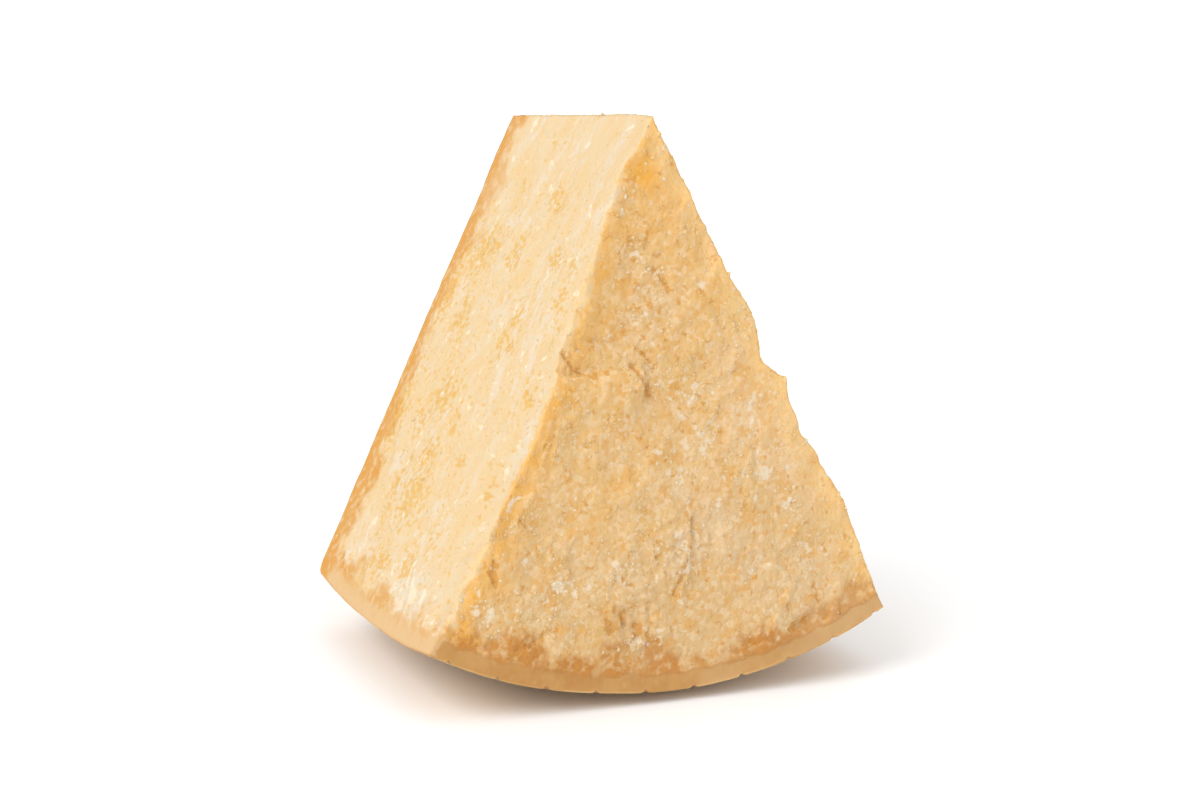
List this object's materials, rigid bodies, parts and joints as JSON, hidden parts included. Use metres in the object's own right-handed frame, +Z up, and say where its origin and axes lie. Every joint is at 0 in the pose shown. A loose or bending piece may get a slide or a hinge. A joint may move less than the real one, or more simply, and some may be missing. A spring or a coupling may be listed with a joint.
{
  "type": "parmesan chunk",
  "caption": "Large wedge-shaped chunk of aged hard grating cheese split from half a wheel, with rough broken sides and a tan rind, standing on its curved rind.",
  "frame": {"origin": "centre of the small flat spot on the curved rind that the chunk stands on", "axes": "+Z up, along the chunk's longest extent; -Y towards the broken front through the wheel's middle; +Y towards the wheel's flat rind; +X to the right when the front is looked at"},
  "size_m": [0.198, 0.1569, 0.2201],
  "materials": {
    "cheese_paste": "aged hard cheese: pale straw-gold grainy paste with white crystals, darkening to a smooth tan rind; soft, slightly oily and a little translucent"
  },
  "bodies": {
    "root": {"cheese_chunk": "cheese_paste"}
  },
  "joints": []
}
